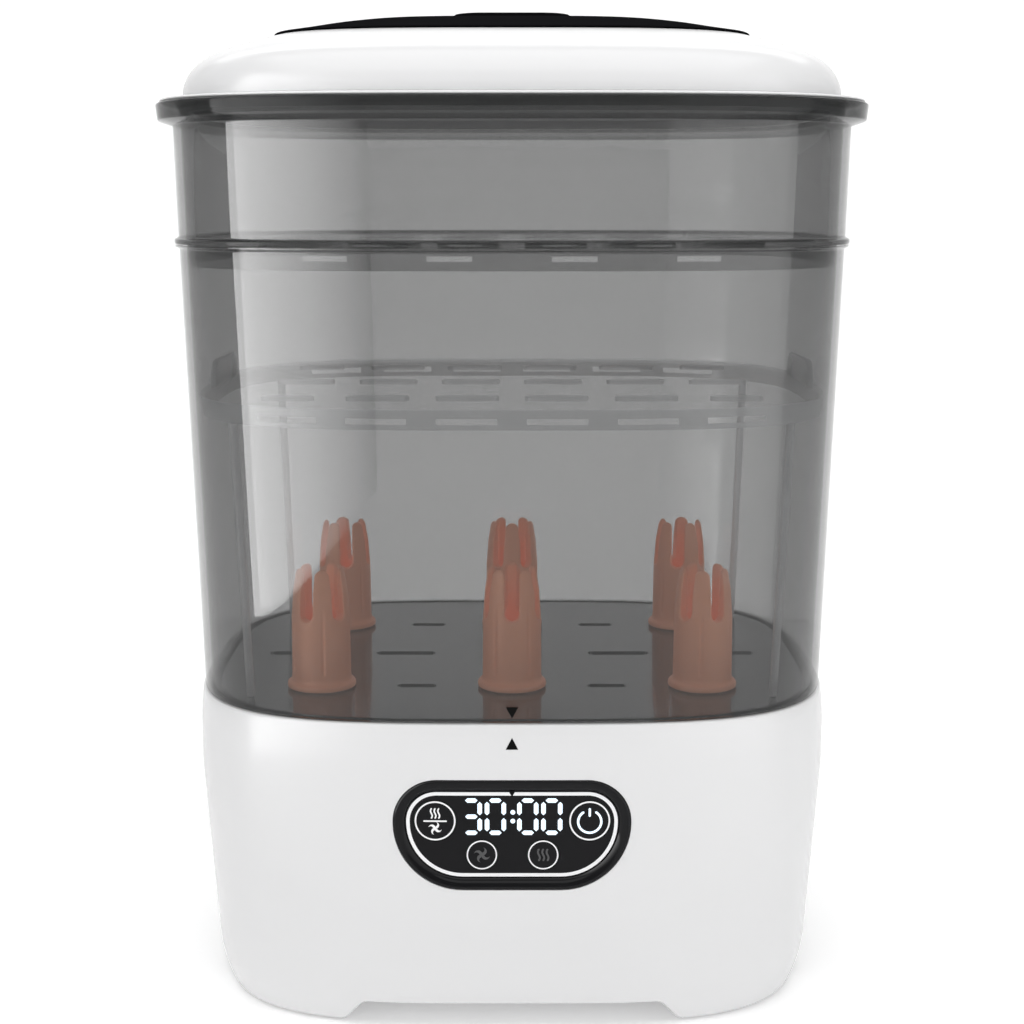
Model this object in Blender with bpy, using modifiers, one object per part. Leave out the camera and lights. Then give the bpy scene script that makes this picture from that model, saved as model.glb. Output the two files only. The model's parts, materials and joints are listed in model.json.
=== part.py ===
"""A countertop bottle sterilizer and dryer, as an assembly of separate pieces.

Metres, +Z up. The origin is the centre of the footprint, on the surface it stands on.
The front, with the control panel, faces -Y. Every wall follows one plan: a superellipse.
"""

import math

import bmesh
import bpy

MM = 0.001
GAP = 0.3 * MM

# plan of the walls: a level's half size is a little under its half width and well over its half depth
PLAN_POWER = 3.5
PLAN_POINTS = 40
WIDER = 4.2 * MM
SHALLOWER = 17.3 * MM

# heights of the stack
FOOT_HEIGHT = 10 * MM
BASE_TOP = 121.3 * MM
RACK_TOP = 121.6 * MM
TOTAL_HEIGHT = 382.4 * MM

# the base wall
BASE_HALF = 121.9 * MM
BASE_WALL = 3.2 * MM

# bottle places
PRONG_PITCH = 75.2 * MM
PRONG_ROW = 51 * MM
PRONG_HEIGHT = 48.5 * MM
FINGERS = 5

# control panel
PANEL_WIDTH = 88.5 * MM
PANEL_LOW = 57.8 * MM
PANEL_HIGH = 100.6 * MM
PANEL_FLOOR = -102.6 * MM
BEZEL_BAND = 5 * MM
PANEL_FRONT = -112 * MM
BEYOND_FRONT = -115 * MM
BEHIND_WALL = -90 * MM
KEYS = {
    "key_mode": (-28.4 * MM, 84.7 * MM, 6.7 * MM),
    "key_power": (28.4 * MM, 84.7 * MM, 6.7 * MM),
    "key_dry": (-11.4 * MM, 72.1 * MM, 5.1 * MM),
    "key_steam": (11.4 * MM, 72.1 * MM, 5.1 * MM),
}

# inside the base
DECK_TOP = 112.5 * MM
DISH_RADIUS = 66 * MM
BLOWER_AT = (50 * MM, 34 * MM)
DUCT_AT = (82 * MM, 52 * MM)
BLOWER_LOW = 34 * MM
BLOWER_HIGH = 62 * MM
BOARD_AT = (-45 * MM, 6 * MM)
BOARD_LOW = 24.4 * MM
PLATE_FLOOR = 11 * MM
FOOT_AT = (89 * MM, 66 * MM)
SCREW_AT = (75.5 * MM, 55.5 * MM)
CORD_X = -70 * MM
CORD_HEIGHT = 27 * MM


# ---------------------------------------------------------------- scene and helpers

def clear_scene():
    for item in list(bpy.data.objects):
        bpy.data.objects.remove(item, do_unlink=True)


def collection(name, hidden=False):
    made = bpy.data.collections.new(name)
    bpy.context.scene.collection.children.link(made)
    made.hide_render = hidden
    return made


clear_scene()
PARTS = collection("bottle_sterilizer")
CUTTERS = collection("cutters", hidden=True)


def material(name, color, roughness, metallic=0.0, alpha=1.0):
    made = bpy.data.materials.new(name)
    made.use_nodes = True
    shader = made.node_tree.nodes["Principled BSDF"]
    shader.inputs["Base Color"].default_value = (*color, 1)
    shader.inputs["Roughness"].default_value = roughness
    shader.inputs["Metallic"].default_value = metallic
    shader.inputs["Alpha"].default_value = alpha
    return made


WHITE = material("white_plastic", (0.86, 0.86, 0.87), 0.35)
SMOKE = material("smoky_clear", (0.30, 0.31, 0.33), 0.08, alpha=0.4)
DARK_RACK = material("dark_rack", (0.09, 0.09, 0.10), 0.3)
CLEAR = material("clear_plastic", (0.80, 0.82, 0.84), 0.1, alpha=0.5)
GLOSS_BLACK = material("gloss_black", (0.01, 0.01, 0.012), 0.08)
PRONG = material("terracotta_silicone", (0.72, 0.36, 0.27), 0.55)
STEEL = material("steel", (0.62, 0.62, 0.62), 0.25, 1.0)
RUBBER = material("rubber", (0.04, 0.04, 0.04), 0.8)
GREY = material("grey_plastic", (0.25, 0.25, 0.26), 0.5)
BOARD = material("circuit_board", (0.03, 0.20, 0.09), 0.45)
GLASS = material("display_glass", (0.02, 0.02, 0.03), 0.05)
PAPER = material("filter_paper", (0.85, 0.85, 0.80), 0.9)


def add(name, mesh, finish, at=(0, 0, 0)):
    """An object in the parts, or among the cutters where it has no finish."""
    item = bpy.data.objects.new(name, mesh)
    item.location = at
    if finish is None:
        CUTTERS.objects.link(item)
        item.hide_render = True
        item.display_type = "WIRE"
    else:
        PARTS.objects.link(item)
        mesh.materials.append(finish)
        mesh.shade_smooth()
        mesh.set_sharp_from_angle(angle=math.radians(35))
    return item


def to_mesh(name, bm):
    bmesh.ops.recalc_face_normals(bm, faces=bm.faces)
    mesh = bpy.data.meshes.new(name)
    bm.to_mesh(mesh)
    bm.free()
    return mesh


def modify(target, cutter, operation):
    boolean = target.modifiers.new(cutter.name, "BOOLEAN")
    boolean.operation = operation
    boolean.object = cutter
    boolean.solver = "EXACT"


def cut(target, *cutters):
    for cutter in cutters:
        modify(target, cutter, "DIFFERENCE")


def join(target, *others):
    for other in others:
        modify(target, other, "UNION")


def keep_inside(target, envelope):
    modify(target, envelope, "INTERSECT")


# ---------------------------------------------------------------- basic shapes

def box(name, low, high, finish=None, bevel=0.0):
    """A box between two corners, its upright edges and rims rounded by bevel."""
    size = [b - a for a, b in zip(low, high)]
    middle = [(a + b) / 2 for a, b in zip(low, high)]
    bm = bmesh.new()
    bmesh.ops.create_cube(bm, size=1)
    bmesh.ops.scale(bm, vec=size, verts=bm.verts)
    item = add(name, to_mesh(name, bm), finish, middle)
    if bevel:
        rounded = item.modifiers.new("rounded", "BEVEL")
        rounded.width = bevel
        rounded.segments = 2
        rounded.limit_method = "ANGLE"
    return item


def upright_box(name, half_width, half_depth, low, high):
    """A box about the upright axis, between two heights."""
    return box(name, (-half_width, -half_depth, low), (half_width, half_depth, high))


def cylinder(name, at, radius, height, finish=None, axis="Z", sides=24):
    """A cylinder from at, along +axis."""
    bm = bmesh.new()
    bmesh.ops.create_cone(bm, cap_ends=True, segments=sides, radius1=radius, radius2=radius, depth=height)
    bmesh.ops.translate(bm, vec=(0, 0, height / 2), verts=bm.verts)
    item = add(name, to_mesh(name, bm), finish, at)
    if axis == "Y":
        item.rotation_euler.x = -math.pi / 2
    return item


def turned(name, profile, finish, at=(0, 0, 0), steps=32, ring=False):
    """A turned shape. The profile is (radius, height), down its outer side; a ring closes on itself."""
    bm = bmesh.new()
    points = [bm.verts.new((radius, 0, height)) for radius, height in profile]
    for first, second in zip(points, points[1:]):
        bm.edges.new((first, second))
    if ring:
        bm.edges.new((points[-1], points[0]))
    mesh = bpy.data.meshes.new(name)
    bm.to_mesh(mesh)
    bm.free()
    item = add(name, mesh, finish, at)
    screw = item.modifiers.new("turn", "SCREW")
    screw.steps = steps
    screw.render_steps = steps
    screw.use_merge_vertices = True
    screw.merge_threshold = 1e-5
    screw.use_smooth_shade = False
    return item


def extruded(name, outline, low, high, finish=None, axis="Z"):
    """A flat outline pushed from low to high along Z, or along Y with the outline's second value up Z."""
    bm = bmesh.new()
    if axis == "Z":
        points = [(x, y, low) for x, y in outline]
        push = (0, 0, high - low)
    else:
        points = [(x, low, z) for x, z in outline]
        push = (0, high - low, 0)
    face = bm.faces.new([bm.verts.new(point) for point in points])
    grown = bmesh.ops.extrude_face_region(bm, geom=[face])
    moved = [v for v in grown["geom"] if isinstance(v, bmesh.types.BMVert)]
    bmesh.ops.translate(bm, vec=push, verts=moved)
    return add(name, to_mesh(name, bm), finish)


def arc(middle, radius, start, end, steps):
    """Points on an arc, angles in degrees."""
    found = []
    for step in range(steps + 1):
        angle = math.radians(start + (end - start) * step / steps)
        found.append((middle[0] + radius * math.cos(angle), middle[1] + radius * math.sin(angle)))
    return found


def rounded_outline(half_width, low, high, low_radius, high_radius, steps=3):
    """A rectangle with round corners, centred on the second axis."""
    corners = (
        ((half_width - high_radius, high - high_radius), high_radius, 0),
        ((-half_width + high_radius, high - high_radius), high_radius, 90),
        ((-half_width + low_radius, low + low_radius), low_radius, 180),
        ((half_width - low_radius, low + low_radius), low_radius, 270),
    )
    found = []
    for middle, radius, start in corners:
        found += arc(middle, radius, start, start + 90, steps)
    return found


def slot(name, at, length, width, low, high, along="X", steps=2):
    """A cutter with round ends, through the heights low to high."""
    reach = length / 2 - width / 2
    outline = arc((reach, 0), width / 2, -90, 90, steps) + arc((-reach, 0), width / 2, 90, 270, steps)
    if along == "Y":
        outline = [(-y, x) for x, y in outline]
    return extruded(name, [(x + at[0], y + at[1]) for x, y in outline], low, high)


# ---------------------------------------------------------------- lofts on the plan

def plan_radius(angle, half):
    """Distance from the centre to the plan of this half size in this direction."""
    x = abs(math.cos(angle)) / (half + WIDER)
    y = abs(math.sin(angle)) / (half - SHALLOWER)
    return (x**PLAN_POWER + y**PLAN_POWER) ** (-1 / PLAN_POWER)


def directions():
    return [math.tau * index / PLAN_POINTS for index in range(PLAN_POINTS)]


def level(height, half):
    """One ring of the plan at a height."""
    found = []
    for angle in directions():
        reach = plan_radius(angle, half)
        found.append((reach * math.cos(angle), reach * math.sin(angle), height))
    return found


def loft(name, levels, finish=None, tube=False):
    """Skins the levels in order. A tube joins the last to the first, and else both ends are capped."""
    bm = bmesh.new()
    rows = [[bm.verts.new(point) for point in ring] for ring in levels]
    pairs = list(zip(rows, rows[1:]))
    if tube:
        pairs.append((rows[-1], rows[0]))
    for lower, upper in pairs:
        for index in range(len(lower)):
            after = (index + 1) % len(lower)
            bm.faces.new((lower[index], lower[after], upper[after], upper[index]))
    if not tube:
        bm.faces.new(rows[0][::-1])
        bm.faces.new(rows[-1])
    return add(name, to_mesh(name, bm), finish)


# ---------------------------------------------------------------- base housing

CREASE_FRONT = 45 * MM
CREASE_SIDE = 103 * MM
SHOULDER = 105 * MM
SOLE_ROUND = 20 * MM
ARCH_REACH = 140 * MM
POST_FOOT = 13 * MM
DECK_THICKNESS = 2.5 * MM


def smoothstep(low, high, value):
    share = min(max((value - low) / (high - low), 0), 1)
    return share * share * (3 - 2 * share)


def base_inset(angle, height):
    """How far the base wall stands in from its widest plan, above and below the curved crease."""
    from_front = math.degrees(math.atan2(abs(math.cos(angle)), abs(math.sin(angle))))
    share = smoothstep(15, 90, from_front)
    crease = CREASE_FRONT + (CREASE_SIDE - CREASE_FRONT) * share
    slope = 0.12 - 0.065 * share
    inset = slope * max(crease - height, 0)
    inset += 4 * MM * max(1 - height / SOLE_ROUND, 0) ** 2
    inset += 1.3 * MM * (max(height - SHOULDER, 0) / (BASE_TOP - SHOULDER)) ** 2
    return inset


def base_level(height, inward=0.0, at_height=None):
    """One ring of the base wall, moved inward. at_height shifts the ring without changing its shape."""
    found = []
    for angle in directions():
        reach = plan_radius(angle, BASE_HALF)
        reach -= base_inset(angle, height) + inward
        z = height if at_height is None else at_height
        found.append((reach * math.cos(angle), reach * math.sin(angle), z))
    return found


def base_envelope(name, inward):
    """The outside of the base as a solid, for pieces that follow its bowed front."""
    heights = [20 * MM, 45 * MM, 60 * MM, 80 * MM, 105 * MM, 112 * MM]
    return loft(name, [base_level(height, inward) for height in heights])


def foot_arches():
    """Cutters for the low arches between the feet, front to back and side to side."""
    top = FOOT_HEIGHT
    right = [(66 * MM, -1 * MM), (64.8 * MM, 1.2 * MM), (59.5 * MM, 8.4 * MM), (57 * MM, top)]
    long_arch = right + [(-x, z) for x, z in reversed(right)]
    side_share = 0.78
    front = extruded("arch_front_cutter", long_arch, -ARCH_REACH, ARCH_REACH, axis="Y")
    short_arch = [(x * side_share, z) for x, z in long_arch]
    side = extruded("arch_side_cutter", short_arch, -ARCH_REACH, ARCH_REACH, axis="Y")
    side.rotation_euler.z = math.pi / 2
    return front, side


def base_posts():
    """Posts in the corners of the base, under the deck."""
    found = []
    for x in (-1, 1):
        for y in (-1, 1):
            at = (x * 94 * MM, y * 71 * MM, POST_FOOT)
            height = DECK_TOP - DECK_THICKNESS - GAP - POST_FOOT
            found.append(cylinder("deck_post", at, 4 * MM, height, sides=12))
    return found


def base_shell():
    outside = [base_level(z * MM) for z in (0.8, 6, 14, 27, 45, 65, 85, 103)]
    outside.append(base_level(BASE_TOP))
    inside = [base_level(z * MM, BASE_WALL) for z in (121.3, 103, 45)]
    inside.append(base_level(24 * MM, BASE_WALL, 14 * MM))
    shell = loft("base_shell", outside + inside, WHITE)
    join(shell, *base_posts())
    cut(shell, *foot_arches())
    cut(shell, upright_box("underside_cutter", 80 * MM, 60 * MM, -5 * MM, FOOT_HEIGHT))
    cut(shell, upright_box("bottom_opening_cutter", 73 * MM, 53 * MM, 5 * MM, 14.2 * MM))
    cut(shell, upright_box("bottom_rebate_cutter", 78 * MM, 58 * MM, 9 * MM, 12.3 * MM))
    cut(shell, panel_prism("panel_recess_cutter", 0, BEYOND_FRONT, PANEL_FLOOR))
    cut(shell, panel_prism("panel_window_cutter", BEZEL_BAND - 0.5 * MM, BEYOND_FRONT, BEHIND_WALL))
    cut(shell, extruded("filter_opening_cutter", filter_outline(0), 85 * MM, 115 * MM, axis="Y"))
    cut(shell, cylinder("cord_hole_cutter", (CORD_X, 70 * MM, CORD_HEIGHT), 4.8 * MM, 50 * MM, axis="Y"))
    cut(shell, *foot_pockets())
    cut(shell, *screw_holes())
    return shell


def foot_pockets():
    found = []
    for x in (-1, 1):
        for y in (-1, 1):
            at = (x * FOOT_AT[0], y * FOOT_AT[1], 0)
            found.append(cylinder("foot_pocket_cutter", at, 8.3 * MM, 3 * MM, sides=20))
    return found


def foot_pads():
    for x, side in ((-1, "left"), (1, "right")):
        for y, end in ((-1, "front"), (1, "rear")):
            at = (x * FOOT_AT[0], y * FOOT_AT[1], 0)
            profile = [(0, 2.7), (8, 2.7), (8, 0.6), (7.4, 0), (0, 0)]
            turned(f"foot_pad_{end}_{side}", [(r * MM, z * MM) for r, z in profile], RUBBER, at, 16)


def screw_holes():
    found = []
    for x in (-1, 1):
        for y in (-1, 1):
            at = (x * SCREW_AT[0], y * SCREW_AT[1], 9 * MM)
            found.append(cylinder("screw_hole_cutter", at, 1.5 * MM, 4.5 * MM, sides=10))
    return found


def plate_posts():
    """Posts on the bottom plate for the blower and the main board."""
    found = []
    for x, y in ((30, 20), (66, 14), (36, 47)):
        height = BLOWER_LOW - PLATE_FLOOR - GAP
        found.append(cylinder("blower_post", (x * MM, y * MM, PLATE_FLOOR), 3.5 * MM, height, sides=12))
    for x in (-1, 1):
        for y in (-1, 1):
            at = (BOARD_AT[0] + x * 22 * MM, BOARD_AT[1] + y * 28 * MM, PLATE_FLOOR)
            found.append(cylinder("board_post", at, 3 * MM, BOARD_LOW - PLATE_FLOOR - GAP, sides=10))
    return found


def bottom_plate():
    outline = rounded_outline(77.6 * MM, -57.6 * MM, 57.6 * MM, 3 * MM, 3 * MM, 2)
    plate = extruded("bottom_plate", outline, 10.3 * MM, 12 * MM, GREY)
    join(plate, *plate_posts())
    cut(plate, *screw_holes())
    for row in range(5):
        place = (0, (row - 2) * 9 * MM - 0.5 * MM)
        cut(plate, slot("bottom_vent_cutter", place, 30 * MM, 3.4 * MM, 9 * MM, 14 * MM))


def bottom_screws():
    profile = [(0, 13.4), (1.2, 13.4), (1.2, 10), (3, 10), (3, 9), (2.2, 8.4), (0, 8.4)]
    number = 0
    for x in (-1, 1):
        for y in (-1, 1):
            number += 1
            at = (x * SCREW_AT[0], y * SCREW_AT[1], 0)
            turned(f"bottom_screw_{number}", [(r * MM, z * MM) for r, z in profile], STEEL, at, 8)


# ---------------------------------------------------------------- control panel

def panel_outline(inset):
    low_radius = 27 * MM - inset
    high_radius = 15.5 * MM - inset
    half = PANEL_WIDTH / 2 - inset
    return rounded_outline(half, PANEL_LOW + inset, PANEL_HIGH - inset, low_radius, high_radius, 6)


def panel_prism(name, inset, front, back, finish=None):
    return extruded(name, panel_outline(inset), front, back, finish, axis="Y")


def control_panel():
    behind = PANEL_FLOOR - GAP
    flush = base_envelope("flush_envelope", 0)
    sunk = base_envelope("sunk_envelope", 0.35 * MM)
    bezel = panel_prism("panel_bezel", GAP, PANEL_FRONT, behind, GLOSS_BLACK)
    cut(bezel, panel_prism("bezel_hole_cutter", BEZEL_BAND, BEYOND_FRONT, BEHIND_WALL))
    keep_inside(bezel, flush)
    lens = panel_prism("panel_lens", BEZEL_BAND + GAP, PANEL_FRONT, behind, GLOSS_BLACK)
    for name, (x, z, radius) in KEYS.items():
        at = (x, BEYOND_FRONT, z)
        hole = cylinder(f"{name}_hole_cutter", at, radius + 0.35 * MM, 30 * MM, axis="Y", sides=28)
        cut(lens, hole)
    keep_inside(lens, sunk)
    for name, (x, z, radius) in KEYS.items():
        key = cylinder(name, (x, PANEL_FRONT, z), radius, 12 * MM, GLOSS_BLACK, axis="Y", sides=28)
        keep_inside(key, flush)


def display_parts():
    lcd = (-19.4 * MM, -102.5 * MM, 78.2 * MM), (19.4 * MM, -99.6 * MM, 95.4 * MM)
    box("lcd_module", *lcd, GLASS, 0.5 * MM)
    board = (-37 * MM, -98.9 * MM, 66 * MM), (37 * MM, -97.3 * MM, 95.6 * MM)
    box("display_board", *board, BOARD)


# ---------------------------------------------------------------- back of the base

def filter_outline(inset):
    corner = 5 * MM - inset
    return rounded_outline(39 * MM - inset, 42 * MM + inset, 88 * MM - inset, corner, corner, 3)


def filter_cover():
    cover = extruded("filter_cover", filter_outline(0.4 * MM), 100.6 * MM, 112 * MM, WHITE, axis="Y")
    for row in range(6):
        low = (49.3 + row * 5.6) * MM
        louvre = box("louvre_cutter", (-30 * MM, 90 * MM, low), (30 * MM, 125 * MM, low + 2.4 * MM))
        cut(cover, louvre)
    keep_inside(cover, base_envelope("cover_envelope", 0.05 * MM))


def filter_parts():
    frame = box("filter_frame", (-37.6 * MM, 78 * MM, 43.2 * MM), (37.6 * MM, 97.5 * MM, 86.8 * MM), GREY)
    cut(frame, box("filter_bay_cutter", (-35.4 * MM, 80 * MM, 45.4 * MM), (35.4 * MM, 100 * MM, 84.6 * MM)))
    cut(frame, box("filter_port_cutter", (-29 * MM, 70 * MM, 50 * MM), (29 * MM, 90 * MM, 80 * MM)))
    pleats = []
    count = 11
    for index in range(count):
        x = (-33 + 66 * index / (count - 1)) * MM
        pleats.append((x, (92 if index % 2 else 95.5) * MM))
    back = [(x, y - 9 * MM) for x, y in reversed(pleats)]
    extruded("hepa_filter", pleats + back, 47.5 * MM, 82.5 * MM, PAPER)


def cord_gland():
    profile = [(7, 0), (7, -2), (4.5, -2.4), (4.5, -9), (3.4, -9), (3.4, 0)]
    gland = turned("cord_gland", [(r * MM, z * MM) for r, z in profile], RUBBER, steps=16, ring=True)
    gland.rotation_euler.x = -math.pi / 2
    gland.location = (CORD_X, 101.1 * MM, CORD_HEIGHT)


# ---------------------------------------------------------------- heating and drying

def base_deck():
    rings = [level(DECK_TOP - DECK_THICKNESS, 112.4 * MM), level(DECK_TOP, 112.9 * MM)]
    deck = loft("base_deck", rings, GREY)
    dish = cylinder("dish_hole_cutter", (0, 0, 90 * MM), DISH_RADIUS + 4 * MM, 40 * MM, sides=40)
    duct = cylinder("duct_hole_cutter", (*DUCT_AT, 90 * MM), 9.6 * MM, 40 * MM)
    cut(deck, dish, duct)


def heating_parts():
    dish = [(76, 115.6), (76, 114.4), (66, 114.4), (62.4, 103), (0, 103)]
    dish_inside = [(0, 104.2), (61.4, 104.2), (65, 115.6)]
    heater = [(r * MM, z * MM) for r, z in dish_inside + dish]
    turned("heating_plate", heater, STEEL, steps=30)
    gasket = [(75.5, 114.1), (75.5, 112.8), (71, 112.8), (71, 114.1)]
    turned("dish_gasket", [(r * MM, z * MM) for r, z in gasket], RUBBER, steps=30, ring=True)
    element = arc((45 * MM, 99.4 * MM), 3.2 * MM, 0, -300, 5)
    turned("heating_element", element, STEEL, steps=24, ring=True)
    cylinder("thermostat", (0, 0, 93 * MM), 10 * MM, 9.6 * MM, STEEL)


def volute(grow):
    """The blower's outline: a round case with a neck out to the duct."""
    radius = 34 * MM - grow
    neck = 13 * MM - grow
    round_part = arc(BLOWER_AT, radius, 58, 352, 18)
    end = (DUCT_AT[0] - MM, DUCT_AT[1])
    return round_part + arc(end, neck, -20, 110, 5)


def blower():
    case = extruded("blower_housing", volute(0), BLOWER_LOW, BLOWER_HIGH, GREY)
    cut(case, extruded("volute_cutter", volute(2 * MM), 30 * MM, BLOWER_HIGH - 2 * MM))
    cut(case, cylinder("shaft_hole_cutter", (*BLOWER_AT, 50 * MM), 4 * MM, 20 * MM))
    cut(case, cylinder("case_port_cutter", (*DUCT_AT, 50 * MM), 9 * MM, 20 * MM))
    cover = extruded("blower_cover", volute(2.4 * MM), BLOWER_LOW, BLOWER_LOW + 1.8 * MM, GREY)
    cut(cover, cylinder("intake_cutter", (*BLOWER_AT, 30 * MM), 17 * MM, 10 * MM))
    motor = [(0, 84), (15, 84), (16, 83), (16, 62.4), (1.5, 62.4), (1.5, 44), (0, 44)]
    turned("fan_motor", [(r * MM, z * MM) for r, z in motor], STEEL, (*BLOWER_AT, 0), 24)


def fan_impeller():
    """A hub, a back plate and a ring of curved blades under it, on the motor's shaft."""
    hub = [(27, 58.6), (27, 57), (8, 57), (6, 40), (1.9, 40), (1.9, 58.6)]
    wheel = turned("fan_impeller", [(r * MM, z * MM) for r, z in hub], GREY, (*BLOWER_AT, 0), 20, ring=True)
    blades = 12
    for index in range(blades):
        blade = box("blade", (17 * MM, -0.7 * MM, 39 * MM), (26.6 * MM, 0.7 * MM, 57.8 * MM))
        turn = math.tau * index / blades
        reach = 21.8 * MM
        blade.location.x = BLOWER_AT[0] + reach * math.cos(turn)
        blade.location.y = BLOWER_AT[1] + reach * math.sin(turn)
        blade.rotation_euler.z = turn + math.radians(35)
        join(wheel, blade)


def air_path():
    duct = [(12, 109.6), (12, 62.4), (10, 62.4), (10, 109.6)]
    turned("air_duct", [(r * MM, z * MM) for r, z in duct], GREY, (*DUCT_AT, 0), 24, ring=True)
    heater = cylinder("duct_heater", (*DUCT_AT, 78 * MM), 9.4 * MM, 12 * MM, STEEL, sides=20)
    for row in (-1, 0, 1):
        place = (DUCT_AT[0], DUCT_AT[1] + row * 4.6 * MM)
        cut(heater, slot("heater_slot_cutter", place, 12 * MM, 2.2 * MM, 70 * MM, 95 * MM))
    outlet = [(0, 117), (12, 117), (12, 115.8), (9.2, 115), (9.2, 106), (8, 106), (8, 114), (0, 114)]
    grille = turned("air_outlet", [(r * MM, z * MM) for r, z in outlet], GREY, (*DUCT_AT, 0), 24)
    for row in (-1, 0, 1):
        place = (DUCT_AT[0], DUCT_AT[1] + row * 4.2 * MM)
        cut(grille, slot("outlet_slot_cutter", place, 11 * MM, 2 * MM, 112 * MM, 119 * MM))


def boards():
    x, y = BOARD_AT
    low = BOARD_LOW
    box("main_board", (x - 32 * MM, y - 38 * MM, low), (x + 32 * MM, y + 38 * MM, low + 1.6 * MM), BOARD)
    seat = BOARD_LOW + 2 * MM
    transformer = (x - 18 * MM, y - 4 * MM, seat), (x + 16 * MM, y + 26 * MM, 50 * MM)
    box("transformer", *transformer, GREY, 1.5 * MM)
    relay = (x - 20 * MM, y - 30 * MM, seat), (x + 2 * MM, y - 14 * MM, 42 * MM)
    box("power_relay", *relay, GLASS, 0.8 * MM)


# ---------------------------------------------------------------- lower chamber and rack

def lower_chamber():
    outer = [
        (121.7, 120), (293, 124.7), (293.8, 126.3), (294.4, 126.3), (294.4, 122.2),
        (122.3, 117.4), (122.3, 114.9), (119.4, 114.9), (119.4, 109), (117.4, 109),
        (115.2, 114.4), (115.2, 117.1), (121.7, 117.1),
    ]
    loft("lower_chamber", [level(z * MM, half * MM) for z, half in outer], SMOKE, tube=True)


def bottle_places():
    for row, y in (("front", -PRONG_ROW), ("rear", PRONG_ROW)):
        for side, x in (("left", -PRONG_PITCH), ("middle", 0), ("right", PRONG_PITCH)):
            yield row, side, x, y


def bottle_rack():
    rings = [level(z * MM, half * MM) for z, half in ((119.7, 114), (121.0, 114.4), (121.6, 113.9))]
    rack = loft("bottle_rack", rings, DARK_RACK)
    for row, side, x, y in bottle_places():
        cut(rack, cylinder("prong_hole_cutter", (x, y, 110 * MM), 8 * MM, 20 * MM))
    for x in (-1, 1):
        for y in (-PRONG_ROW, PRONG_ROW):
            place = (x * PRONG_PITCH / 2, y)
            cut(rack, slot("drain_cutter", place, 16 * MM, 5 * MM, 110 * MM, 130 * MM))
    for x in (-90, -45, 0, 45, 90):
        cut(rack, slot("steam_cutter", (x * MM, 0), 26 * MM, 6 * MM, 110 * MM, 130 * MM))


def prong_profile():
    """Stub under the rack, flange, then a hollow body that narrows to the tips of the fingers."""
    top = RACK_TOP + PRONG_HEIGHT
    flange_low = RACK_TOP + GAP
    flange_high = RACK_TOP + 2.7 * MM
    stub = 118.4 * MM
    fingers = [(7.4 * MM, top), (9.3 * MM, top - 1.2 * MM), (10.4 * MM, top - 9 * MM)]
    body = [(11.3 * MM, top - 24 * MM), (11.8 * MM, flange_high + 1.5 * MM)]
    flange = [(13.5 * MM, flange_high), (13.5 * MM, flange_low), (7.6 * MM, flange_low)]
    inside = [(0, top - 34 * MM), (6.6 * MM, top - 30 * MM), (6.2 * MM, top)]
    return fingers + body + flange + [(7.6 * MM, stub), (0, stub)] + inside


def finger_cutters():
    """Five upright slots with round feet, from the axis out."""
    found = []
    foot = RACK_TOP + PRONG_HEIGHT - 17.5 * MM
    half = 3.15 * MM
    for index in range(FINGERS):
        outline = arc((0, foot), half, 180, 360, 4) + [(half, foot + 25 * MM), (-half, foot + 25 * MM)]
        cutter = extruded(f"finger_slot_cutter_{index}", outline, -16 * MM, -3 * MM, axis="Y")
        cutter.rotation_euler.z = math.tau * index / FINGERS
        found.append(cutter)
    return found


def prongs():
    """One at each bottle place. The rear row is the front row turned half round."""
    template = turned("prong_template", prong_profile(), None, steps=15, ring=True)
    cut(template, *finger_cutters())
    made = bpy.data.meshes.new_from_object(
        template.evaluated_get(bpy.context.evaluated_depsgraph_get())
    )
    bpy.data.objects.remove(template)
    for row, side, x, y in bottle_places():
        copy = made.copy()
        prong = add(f"prong_{row}_{side}", copy, PRONG, (x, y, 0))
        lean = {"left": math.radians(-26), "middle": 0, "right": math.radians(26)}[side]
        prong.rotation_euler.z = lean + (math.pi if row == "rear" else 0)


# ---------------------------------------------------------------- nipple tray

def nipple_tray():
    skirt = [(236.2, 117), (229.7, 116.6), (229.7, 118.3), (237.2, 119.1), (238, 118.4)]
    tray = loft("nipple_tray", [level(z * MM, half * MM) for z, half in skirt], CLEAR)
    for side in (-1, 1):
        ear = rounded_outline(27 * MM, 228 * MM, 248 * MM, MM, 9 * MM, 4)
        x = side * 118.8 * MM
        handle = extruded("ear", ear, x - 1.2 * MM, x + 1.2 * MM, axis="Y")
        handle.rotation_euler.z = math.pi / 2
        join(tray, handle)
    for column in range(6):
        x = (column - 2.5) * 34 * MM
        for y in (-62, 0, 62):
            length = 20 if abs(column - 2.5) > 2 and abs(y) > 50 else 24
            place = (x, y * MM)
            cut(tray, slot("tray_slot_cutter", place, length * MM, 6 * MM, 220 * MM, 250 * MM))
    for column in range(6):
        x = (column - 2.5) * 32.6 * MM
        window = (x - 11 * MM, -110 * MM, 231.6 * MM), (x + 11 * MM, 110 * MM, 234 * MM)
        cut(tray, box("skirt_window_cutter", *window))


def tray_legs():
    """Four thin posts from the tray down to the rack, leaning in a little as the wall does."""
    top = 229.4 * MM
    bottom = RACK_TOP + GAP
    for x, side in ((-1, "left"), (1, "right")):
        for y, end in ((-1, "front"), (1, "rear")):
            feet = (x * 101 * MM, y * 67 * MM)
            lean = (x * 3.5 * MM, y * 3.5 * MM)
            outline = [(px, py) for px, py in arc((0, 0), 1.7 * MM, 0, 315, 7)]
            levels = []
            for height, share in ((bottom, 0), (top, 1)):
                shift = (feet[0] + lean[0] * share, feet[1] + lean[1] * share)
                levels.append([(px + shift[0], py + shift[1], height) for px, py in outline])
            loft(f"tray_leg_{end}_{side}", levels, CLEAR)


# ---------------------------------------------------------------- upper chamber and lid

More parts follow.
